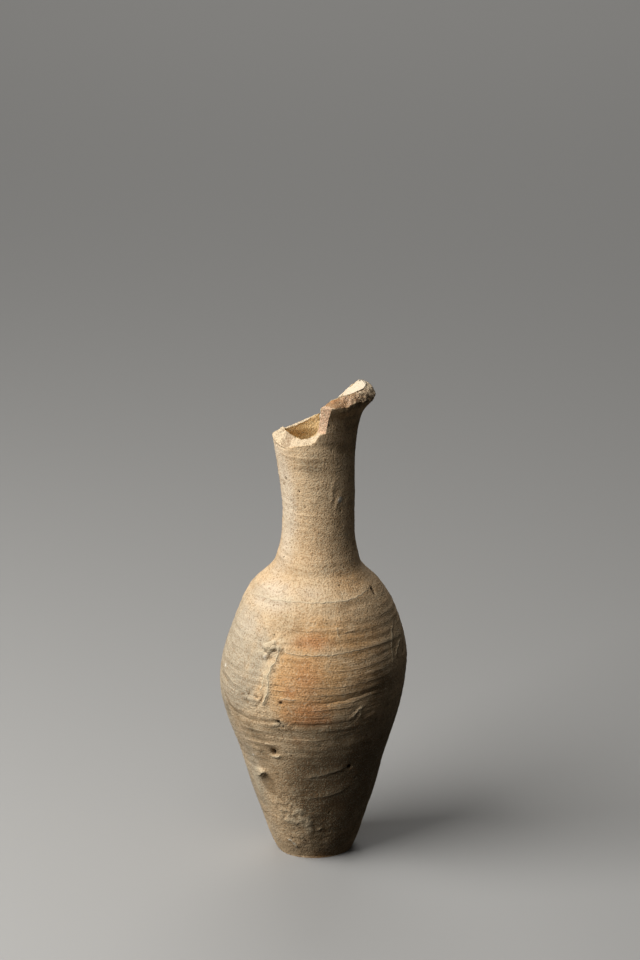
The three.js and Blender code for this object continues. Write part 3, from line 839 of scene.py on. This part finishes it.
def surface_tree(clays):
    """Geometry Nodes that give the laid-out skin what the wheel and the clay leave all over it."""
    tree = bpy.data.node_groups.new("Thrown Clay Surface", "GeometryNodeTree")
    sockets = tree.interface
    sockets.new_socket("Geometry", in_out="INPUT", socket_type=GEOMETRY)
    for _, name, default, text in SURFACE_INPUTS:
        socket = sockets.new_socket(name, in_out="INPUT", socket_type=FLOAT)
        socket.subtype = "DISTANCE"
        socket.default_value = default
        socket.description = text
    density = sockets.new_socket("Pit Density", in_out="INPUT", socket_type=FLOAT)
    density.default_value = PIT_DENSITY
    density.description = "Small pits for each square metre"
    seed = sockets.new_socket("Seed", in_out="INPUT", socket_type=INTEGER)
    seed.default_value = PIT_SEED
    for name in clays:
        sockets.new_socket(name, in_out="INPUT", socket_type="NodeSocketMaterial")
    sockets.new_socket("Geometry", in_out="OUTPUT", socket_type=GEOMETRY)

    given = add(tree, "NodeGroupInput").outputs
    place = add(tree, "GeometryNodeInputPosition")
    height = add(tree, "ShaderNodeSeparateXYZ", {"Vector": place}).outputs["Z"]
    layers = {
        name: add(tree, "GeometryNodeInputNamedAttribute", {"Name": name}, data_type="FLOAT")
        for name in ("hole", "relief", *(where for *_, where in RELIEF))
    }
    scales = {
        name: add(tree, MATH, (1.0, given[name]), operation="DIVIDE")
        for name in ("Wiped Line Pitch", "Lump Size", "Grain Size", "Crumb Size")
    }
    patterns = {}
    for key, (width, detail, roughness) in RELIEF_NOISE.items():
        scale = scales[width] if isinstance(width, str) else 1 / (width * MM)
        feeds = {"Vector": place, "Scale": scale, "Detail": detail, "Roughness": roughness}
        patterns[key] = add(tree, NOISE, feeds)

    # ridges outside and finger ridges inside: a sine up the wall. Those outside stray, come and go
    for key, pitch, stray in (("ridges", "Ridge Pitch", RIDGE_STRAY), ("fingers", "Finger Pitch", 0.0)):
        turns = add(tree, MATH, (height, given[pitch]), operation="DIVIDE")
        shifted = add(tree, MATH, (patterns["wander"], stray, turns), operation="MULTIPLY_ADD")
        angle = add(tree, MATH, (shifted, math.tau), operation="MULTIPLY")
        patterns[key] = add(tree, MATH, (angle,), operation="SINE")
    start, full = RIDGE_PRESENCE
    presence = add(tree, MAP_RANGE, {"Value": patterns["coming"], "From Min": start, "From Max": full})
    patterns["ridges"] = add(tree, MATH, (patterns["ridges"], presence), operation="MULTIPLY")

    # wiped lines: noise drawn out along the turning of the wheel
    along = 1 / (WIPED_LENGTH * MM)
    feeds = {"X": along, "Y": along, "Z": scales["Wiped Line Pitch"]}
    stretch = add(tree, "ShaderNodeCombineXYZ", feeds)
    drawn = add(tree, VECTOR_MATH, (place, stretch), operation="MULTIPLY")
    feeds = {"Vector": drawn, "Scale": 1.0, "Detail": 3.0, "Roughness": 0.6}
    patterns["wiped"] = add(tree, NOISE, feeds)

    # crumbs: rounded cells with loose bits between them
    feeds = {"Vector": place, "Scale": scales["Crumb Size"]}
    crumbs = add(tree, "ShaderNodeTexVoronoi", feeds, feature="SMOOTH_F1").outputs["Distance"]
    patterns["chips"] = add(tree, MATH, (patterns["loose"], crumbs), operation="SUBTRACT")

    # small pits, where grit has dropped out
    feeds = {"A": layers["wall"], "B": PITTED_FROM}
    outer = add(tree, "FunctionNodeCompare", feeds, operation="GREATER_THAN")
    feeds = {"Mesh": given["Geometry"], "Selection": outer, "Seed": given["Seed"]}
    feeds["Density"] = given["Pit Density"]
    grit = add(tree, "GeometryNodeDistributePointsOnFaces", feeds)
    nearest = add(tree, "GeometryNodeProximity", (grit,), target_element="POINTS").outputs["Distance"]
    ragged = add(tree, MATH, (patterns["uneven"], 2.0), operation="MULTIPLY")
    reach = add(tree, MATH, (ragged, given["Pit Radius"]), operation="MULTIPLY")
    feeds = {"Value": nearest, "From Min": reach, "From Max": 0.0}
    pits = add(tree, MAP_RANGE, feeds, interpolation_type="SMOOTHSTEP")

    # all of it in metres
    total = add(tree, MATH, (0.0, 0.0), operation="ADD")
    for key, middle, relief, where in RELIEF:
        centred = add(tree, MATH, (patterns[key], middle), operation="SUBTRACT")
        sized = add(tree, MATH, (centred, given[relief]), operation="MULTIPLY")
        total = add(tree, MATH, (sized, layers[where], total), operation="MULTIPLY_ADD")
    dropped = add(tree, MATH, (pits, given["Pit Depth"]), operation="MULTIPLY")
    there = add(tree, MATH, (dropped, layers["wall"]), operation="MULTIPLY")
    total = add(tree, MATH, (total, there), operation="SUBTRACT")

    # keep the relief and the pits for the finishes, which tint hollows with soil and painted shade,
    # pits with painted shade and high spots with rubbing and painted highlight, then move the skin
    in_mm = add(tree, MATH, (total, 1 / MM, layers["relief"]), operation="MULTIPLY_ADD")
    deep = add(tree, MATH, (layers["hole"], pits), operation="MAXIMUM")
    made = given["Geometry"]
    for name, value in (("relief", in_mm), ("hole", deep)):
        feeds = {"Geometry": made, "Name": name, "Value": value}
        made = add(tree, "GeometryNodeStoreNamedAttribute", feeds, domain="POINT")
    normal = add(tree, "GeometryNodeInputNormal")
    push = add(tree, VECTOR_MATH, {0: normal, "Scale": total}, operation="SCALE")
    made = add(tree, "GeometryNodeSetPosition", {"Geometry": made, "Offset": push})
    made = add(tree, "GeometryNodeRealizeInstances", {"Geometry": made})
    made = add(tree, "GeometryNodeSetShadeSmooth", {"Geometry": made})
    zone = add(tree, "GeometryNodeInputNamedAttribute", {"Name": "zone"}, data_type="INT")
    for number, name in enumerate(clays):
        feeds = {"A": zone, "B": number}
        chosen = add(tree, "FunctionNodeCompare", feeds, data_type="INT", operation="EQUAL")
        feeds = {"Geometry": made, "Selection": chosen, "Material": given[name]}
        made = add(tree, "GeometryNodeSetMaterial", feeds)
    add(tree, "NodeGroupOutput", {"Geometry": made})
    return tree


# ---------------------------------------------------------------------------------------------
# Finishes. Each is a base colour under coats of colour, each laid on by a mask.

# Noise that the masks are mottled with: width in mm, detail, roughness. Sand in such clay is taken
# as 0.2 to 0.5 mm across, and is drawn 0.65 mm across so that it still shows from a step away.
PATTERNS = {
    "clouds": (21, 3, 0.5),
    "mottle": (5, 3, 0.6),
    "dust": (2.2, 3, 0.65),
    "sand": (0.65, 1, 0.5),
}
# The wiped lines, fine and broad: their length round the pot and their pitch, in mm.
WIPED = {"lines": (18, 18, 0.8), "bands": (40, 40, 3.2)}
# Strokes beside each line of the wall: middle and half width in mm, above 0 on its upper side, and
# how far each stands out. Their masks also lay the lip's pale tint, partly painted highlight, and
# the cut's painted shade.
STROKES = {"lip": (0.12, 0.42, 0.45), "cut": (-0.25, 0.36, -0.6)}
DUST_RELIEF = (0.6, 3.0)  # everywhere, and what crumbly clay adds
FIRED_CLAY = {"Roughness": 0.92, "IOR": 1.5, "Specular IOR Level": 0.3}  # matt, next to no shine

# Coats of the outside: attribute or None, what multiplies it or None, patterns and their weights,
# where the mask starts and is full, colour, strength.
OUTSIDE_COATS = [
    (None, None, {"clouds": 0.7, "mottle": 0.3}, 0.42, 0.62, "deep_buff", 0.6),
    ("warm", None, {"clouds": 0.5, "mottle": 0.4, "bands": 0.4}, 0.12, 0.95, "warm_buff", 0.85),
    ("fired", None, {"clouds": 0.4, "mottle": 0.5, "bands": 0.4}, 0.15, 0.95, "fired", 0.8),
    ("pale", None, {"clouds": 0.4, "mottle": 0.6, "bands": 0.4}, 0.15, 0.95, "skin", 0.85),
    ("chalky", None, {"clouds": 0.5, "mottle": 0.5}, 0.1, 0.9, "chalk", 0.75),
    ("smoke", None, {"clouds": 0.3, "mottle": 0.5, "bands": 0.3}, 0.1, 1, "smoke", 0.9),
    (None, None, {"mottle": 1}, 0.52, 0.72, "soil", 0.22),
    (None, None, {"mottle": 1}, 0.46, 0.28, "cream", 0.2),
    (None, None, {"bands": 1}, 0.52, 0.7, "soil", 0.24),
    ("lined", "lines", {}, 0.5, 0.75, "soil", 0.35),
    (None, None, {"lines": 1}, 0.46, 0.26, "cream", 0.2),
    (None, None, {"sand": 1}, 0.5, 0.7, "worn", 0.6),
    (None, None, {"sand": 1}, 0.47, 0.29, "cream", 0.4),
    (None, None, {"dust": 1}, 0.52, 0.68, "soil", 0.2),
    (None, None, {"dust": 0.4, "sand": 0.6}, 0.62, 0.69, "soil", 0.36),
    # darker in hollows: soil, and painted shade
    ("relief", None, {"mottle": 0.1, "sand": 0.1}, -0.04, -0.4, "soil", 0.6),
    # paler on high spots: rubbing, and painted highlight
    ("relief", None, {"mottle": 0.15, "sand": 0.15}, 0.1, 0.5, "cream", 0.35),
    ("crumbly", None, {"mottle": 0.8, "sand": 0.8}, 0.6, 1.1, "cream", 0.35),
    ("lime", None, {"sand": 0.2}, 0.3, 0.8, "lime", 0.9),
    ("worn", None, {"mottle": 0.7, "sand": 0.3}, 0.35, 0.9, "worn", 0.75),
    # pale lip beside lines: pale clay of scratches, and painted highlight on lit edges
    ("line_lip", "lip", {"sand": 0.3, "mottle": 0.5}, 0.2, 0.95, "cream", 0.7),
    # painted shade in cracks, scratches and under ledges
    ("line_cut", "cut", {"sand": 0.3, "mottle": 0.3}, 0.15, 0.95, "crack", 0.7),
    # painted shade inside pin holes and small pits
    ("hole", None, {"sand": 0.3}, 0.3, 0.85, "hole", 0.92),
]
BREAK_COATS = [
    ("salmon", None, {"clouds": 0.5, "mottle": 0.5}, 0.2, 0.9, "break_red", 0.75),
    (None, None, {"sand": 1}, 0.54, 0.7, "worn", 0.5),
    (None, None, {"dust": 1}, 0.56, 0.68, "worn", 0.4),
    (None, None, {"sand": 1}, 0.45, 0.3, "cream", 0.5),
    ("dirt", None, {"mottle": 0.8, "sand": 1.4}, 0.35, 0.95, "soil", 0.5),
    ("rubbed", None, {"mottle": 1, "sand": 0.8}, 0.25, 0.95, "worn", 0.8),
    ("rubbed", None, {"mottle": 1.4, "dust": 0.6}, 0.9, 1.2, "fired", 0.6),
    (None, None, {"dust": 0.6, "sand": 0.6}, 0.68, 0.8, "cream", 0.6),
    # darker in the hollows of the break: painted shade, with soil
    ("relief", None, {"sand": 0.1}, -0.1, -0.4, "worn", 0.5),
]
INSIDE_COATS = [
    (None, None, {"clouds": 0.6, "mottle": 0.4}, 0.4, 0.7, "inside_deep", 0.7),
    (None, None, {"lines": 1}, 0.52, 0.75, "soil", 0.35),
    (None, None, {"sand": 1}, 0.54, 0.72, "soil", 0.4),
    (None, None, {"sand": 1}, 0.46, 0.3, "cream", 0.3),
    # painted light: a chalk-pale band inside the lip
    ("rim_light", None, {"mottle": 0.5, "sand": 0.3}, 0.3, 0.8, "chalk", 0.85),
]


def finish(name, colours, base, coats, relief):
    """A matt ceramic material: coats over a base colour, and sand, wiped lines and the lips and
    cuts of the lines as relief, in metres."""
    material = bpy.data.materials.new(name)
    material.use_nodes = True
    tree = material.node_tree
    tree.nodes.clear()
    place = add(tree, "ShaderNodeTexCoord").outputs["Object"]
    layers = {
        key: add(tree, ATTRIBUTE, attribute_name=key).outputs["Fac"]
        for key in ("line_offset", "lined", "crumbly", *(coat[0] for coat in coats))
        if key
    }
    patterns = {}
    for key, (width, detail, roughness) in PATTERNS.items():
        feeds = {"Vector": place, "Scale": 1 / (width * MM), "Detail": detail, "Roughness": roughness}
        patterns[key] = add(tree, NOISE, feeds)
    for key, widths in WIPED.items():
        stretch = tuple(1 / (width * MM) for width in widths)
        drawn = add(tree, VECTOR_MATH, (place, stretch), operation="MULTIPLY")
        patterns[key] = add(tree, NOISE, {"Vector": drawn, "Scale": 1.0, "Detail": 3.0})
    for key, (middle, half, _) in STROKES.items():
        centred = add(tree, MATH, (layers["line_offset"], middle), operation="SUBTRACT")
        away = add(tree, MATH, (centred,), operation="ABSOLUTE")
        feeds = {"Value": away, "From Min": half, "From Max": 0.0}
        patterns[key] = add(tree, MAP_RANGE, feeds, interpolation_type="SMOOTHSTEP")

    colour = opaque(getattr(colours, base))
    strokes = {}
    for layer, times, mottling, start, full, tint, strength in coats:
        mask = layers[layer] if layer else 0.0
        if times:
            mask = add(tree, MATH, (mask, patterns[times]), operation="MULTIPLY")
            strokes[times] = mask
        for key, weight in mottling.items():
            mask = add(tree, MATH, (patterns[key], weight, mask), operation="MULTIPLY_ADD")
        middle = sum(mottling.values()) / 2 if layer else 0
        feeds = {"From Min": start + middle, "From Max": full + middle, "To Max": strength}
        laid = add(tree, MAP_RANGE, {"Value": mask, **feeds}, interpolation_type="SMOOTHSTEP")
        feeds = {"Factor": laid, "A": colour, "B": opaque(getattr(colours, tint))}
        colour = add(tree, "ShaderNodeMix", feeds, data_type="RGBA").outputs["Result"]

    feeds = (patterns["lines"], layers["lined"], patterns["sand"])
    height = add(tree, MATH, feeds, operation="MULTIPLY_ADD")
    everywhere, added = DUST_RELIEF
    dusty = add(tree, MATH, (layers["crumbly"], added, everywhere), operation="MULTIPLY_ADD")
    height = add(tree, MATH, (patterns["dust"], dusty, height), operation="MULTIPLY_ADD")
    for key, (*_, stands_out) in STROKES.items():
        if key in strokes:
            height = add(tree, MATH, (strokes[key], stands_out, height), operation="MULTIPLY_ADD")
    bump = add(tree, "ShaderNodeBump", {"Height": height, "Strength": 1.0, "Distance": relief})
    clay = add(tree, "ShaderNodeBsdfPrincipled", {"Base Color": colour, "Normal": bump, **FIRED_CLAY})
    add(tree, "ShaderNodeOutputMaterial", {"Surface": clay})
    return material


def weathered_earthenware(colours):
    """Unglazed buff earthenware, thrown, wiped wet and long buried: matt, sandy, patchy from the
    kiln, with a thin pale skin of lime, soil in its lines and bright scratches. Its colour also holds
    painted light: painted highlight on the lips of lines and on high spots, beside pale scratches and
    rubbing, and painted shade in cracks, under ledges, in holes and pits, and with soil in hollows."""
    return finish("buff earthenware, weathered", colours, "buff", OUTSIDE_COATS, relief=0.3 * MM)


def broken_earthenware(colours):
    """The same clay broken open: cleaner and paler than the skin, grainy, pink where it is thick."""
    return finish("buff earthenware, broken", colours, "break_cream", BREAK_COATS, relief=0.6 * MM)


def inner_earthenware(colours):
    """The unwiped inside: ochre with soil in its finger ridges, and painted light on the wall just
    under the lip.
    """
    return finish("buff earthenware, inside", colours, "inside", INSIDE_COATS, relief=0.5 * MM)


# ---------------------------------------------------------------------------------------------
# What a user can change

COLOURS = {
    "buff": ("#E9C99E", "Buff", "Fired clay where nothing covers it"),
    "deep_buff": ("#D8B386", "Deep buff", "Clay fired a little harder"),
    "warm_buff": ("#E4AF72", "Warm buff", "Glow that the kiln left"),
    "fired": ("#DE945A", "Fired patch", "Redder middle of the glow"),
    "skin": ("#BDB098", "Pale skin", "Lime and slip wiped over the clay"),
    "smoke": ("#695840", "Smoke", "Smoke and soil on the lower body"),
    # also, with painted shade, in the hollows
    "soil": ("#7A6040", "Soil", "Soil in lines and between grains"),
    # also painted highlight on the lips of lines and, with rubbing, on high spots
    "cream": ("#EBD9B6", "Cream", "Scratches and rubbed high spots"),
    # also used for the painted light inside the lip
    "chalk": ("#EDDCC2", "Chalky bloom", "Dry bloom on the neck and shoulder"),
    "lime": ("#F2E7D4", "Lime", "Grains of lime"),
    # painted shade in cracks and under ledges
    "crack": ("#4E3A24", "Cracks", "Inside of cracks and under ledges"),
    # painted shade inside pin holes and small pits
    "hole": ("#35261A", "Holes", "Inside of pin holes"),
    # also painted shade, with soil, in the hollows of the break
    "worn": ("#A0764E", "Worn clay", "Rubbed edge of the lip, and the darker sand"),
    "break_cream": ("#E8D0AC", "Broken clay", "Clean break"),
    "break_red": ("#CF9C7C", "Red break", "Break where the clay fired redder"),
    "inside": ("#DEBC86", "Inside", "Wall of the hollow"),
    "inside_deep": ("#BC9A60", "Inside, deep", "Stains in the hollow"),
}


class UnguentariumSizes(bpy.types.PropertyGroup):
    """Sizes of the bottle and of what the wheel and the clay leave on it."""

    __annotations__ = {
        key: bpy.props.FloatProperty(
            name=name, description=text, default=default, min=0, precision=5, unit="LENGTH"
        )
        for key, name, default, text in (
            ("height", "Height", HIGHEST.z - LOWEST.z, "Height of the bottle, foot to lip"),
            *SURFACE_INPUTS,
        )
    }
    pit_density: bpy.props.FloatProperty(
        name="Pit Density", description="Small pits for each square metre", default=PIT_DENSITY, min=0
    )
    seed: bpy.props.IntProperty(
        name="Seed",
        description="Another number scatters the pits another way",
        default=PIT_SEED,
        min=0,
    )


class UnguentariumColours(bpy.types.PropertyGroup):
    """Colours of the clay, its skin and its stains."""

    __annotations__ = {
        key: bpy.props.FloatVectorProperty(
            name=name, description=text, default=linear(colour), min=0, max=1, subtype="COLOR"
        )
        for key, (colour, name, text) in COLOURS.items()
    }


CAMERA_PLACE = (0.0027, -1.385, 0.5991)
# Soft square lights: side and place in metres. Their powers are settings.
LIGHTS = {
    "key": (0.85, (-0.633, -0.327, 0.65)),
    "fill": (0.6, (-0.05, -0.45, 1)),
    "back": (2, (0, 2.4, 1.75)),
}
PAPER_ROUGHNESS = 0.85  # backdrop paper has no shine, so the floor stays an even pale tone


class StudioSettings(bpy.types.PropertyGroup):
    """Floor, light and camera."""

    __annotations__ = {
        key: bpy.props.FloatProperty(name=name, description=text, default=default, unit=unit)
        for key, name, default, unit, text in (
            ("floor_size", "Floor Size", 10, "LENGTH", "Side of the square floor"),
            ("key_power", "Key Light", 11.8, "POWER", "Soft light from the left front"),
            ("fill_power", "Fill Light", 1.2, "POWER", "Weak soft light from above the front"),
            ("back_power", "Back Light", 22, "POWER", "Broad soft light from far behind"),
            ("ambient", "Ambient", 0.013, "NONE", "Strength of the even light from all round"),
            ("lens", "Lens", 135, "CAMERA", "Focal length in millimetres"),
            ("pitch", "Pitch", math.radians(17.61), "ROTATION", "How far the camera looks down"),
        )
    }
    floor_colour: bpy.props.FloatVectorProperty(
        name="Floor Colour", description="Plain pale floor", default=linear("#B0AEAA"), subtype="COLOR"
    )


# ---------------------------------------------------------------------------------------------
# Operators


class POTTERY_OT_throw_unguentarium(bpy.types.Operator):
    """Throws the bottle, breaks its rim and weathers it"""

    bl_idname = "pottery.throw_unguentarium"
    bl_label = "Throw Unguentarium"

    def execute(self, context):
        sizes = context.scene.unguentarium_sizes
        colours = context.scene.unguentarium_colours
        piece = bpy.data.objects.new("unguentarium", vessel_mesh(sizes.height / MOUTH_HEIGHT))
        context.scene.collection.objects.link(piece)

        clays = {
            "Outer Clay": weathered_earthenware(colours),
            "Broken Clay": broken_earthenware(colours),
            "Inner Clay": inner_earthenware(colours),
        }
        surface = piece.modifiers.new("Thrown Clay Surface", "NODES")
        surface.node_group = surface_tree(clays)
        given = {name: getattr(sizes, key) for key, name, *_ in SURFACE_INPUTS}
        given |= {"Pit Density": sizes.pit_density, "Seed": sizes.seed, **clays}
        for socket in surface.node_group.interface.items_tree:
            if socket.in_out == "INPUT" and socket.name in given:
                surface[socket.identifier] = given[socket.name]

        depsgraph = context.evaluated_depsgraph_get()
        made = bpy.data.meshes.new_from_object(
            piece.evaluated_get(depsgraph), preserve_all_data_layers=True, depsgraph=depsgraph
        )
        piece.modifiers.clear()
        piece.data = made
        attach(piece, "root")
        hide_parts("vessel")
        return {"FINISHED"}


class POTTERY_OT_set_studio(bpy.types.Operator):
    """Lays the pale floor and sets the soft light and the camera"""

    bl_idname = "pottery.set_studio"
    bl_label = "Set Studio"

    def execute(self, context):
        studio = context.scene.unguentarium_studio
        link = context.scene.collection.objects.link

        half = studio.floor_size / 2
        corners = [(-half, -half, 0), (half, -half, 0), (half, half, 0), (-half, half, 0)]
        plane = bpy.data.meshes.new("floor")
        plane.from_pydata(corners, [], [(0, 1, 2, 3)])
        paper = bpy.data.materials.new("matt backdrop paper")
        paper.use_nodes = True
        shader = paper.node_tree.nodes["Principled BSDF"]
        shader.inputs["Base Color"].default_value = opaque(studio.floor_colour)
        shader.inputs["Roughness"].default_value = PAPER_ROUGHNESS
        plane.materials.append(paper)
        floor = bpy.data.objects.new("floor", plane)
        floor.visible_diffuse = False  # throws no light back up on the shaded side
        link(floor)

        for name, (size, place) in LIGHTS.items():
            light = bpy.data.lights.new(name, "AREA")
            light.energy = getattr(studio, f"{name}_power")
            light.size = size
            lamp = bpy.data.objects.new(name, light)
            lamp.location = place
            aim = Vector((0, 0, HIGHEST.z / 2)) - lamp.location
            lamp.rotation_euler = aim.to_track_quat("-Z", "Y").to_euler()
            link(lamp)

        world = bpy.data.worlds.new("studio")
        world.use_nodes = True
        background = world.node_tree.nodes["Background"]
        background.inputs["Color"].default_value = (1, 1, 1, 1)
        background.inputs["Strength"].default_value = studio.ambient
        context.scene.world = world

        camera = bpy.data.objects.new("camera", bpy.data.cameras.new("camera"))
        camera.data.lens = studio.lens
        camera.location = CAMERA_PLACE
        camera.rotation_euler = (math.pi / 2 - studio.pitch, 0, 0)
        link(camera)
        context.scene.camera = camera
        context.scene.view_settings.view_transform = "Standard"
        return {"FINISHED"}


class POTTERY_PT_unguentarium(bpy.types.Panel):
    """Lists the bottle's and the studio's operators and settings"""

    bl_idname = "POTTERY_PT_unguentarium"
    bl_label = "Unguentarium"
    bl_space_type = "VIEW_3D"
    bl_region_type = "UI"
    bl_category = "Unguentarium"

    def draw(self, context):
        for operator, group in (
            (POTTERY_OT_throw_unguentarium, context.scene.unguentarium_sizes),
            (None, context.scene.unguentarium_colours),
            (POTTERY_OT_set_studio, context.scene.unguentarium_studio),
        ):
            column = self.layout.column(align=True)
            if operator:
                column.operator(operator.bl_idname)
            for key in group.__annotations__:
                column.prop(group, key)


GROUPS = {
    "unguentarium_sizes": UnguentariumSizes,
    "unguentarium_colours": UnguentariumColours,
    "unguentarium_studio": StudioSettings,
}
CLASSES = (
    *GROUPS.values(),
    POTTERY_OT_throw_unguentarium,
    POTTERY_OT_set_studio,
    POTTERY_PT_unguentarium,
)


def register():
    for each in CLASSES:
        bpy.utils.register_class(each)
    for name, group in GROUPS.items():
        setattr(bpy.types.Scene, name, bpy.props.PointerProperty(type=group))


def unregister():
    for name in GROUPS:
        delattr(bpy.types.Scene, name)
    for each in reversed(CLASSES):
        bpy.utils.unregister_class(each)


def main():
    register()
    bpy.ops.pottery.set_studio()
    bpy.ops.pottery.throw_unguentarium()


if __name__ == "__main__":
    main()
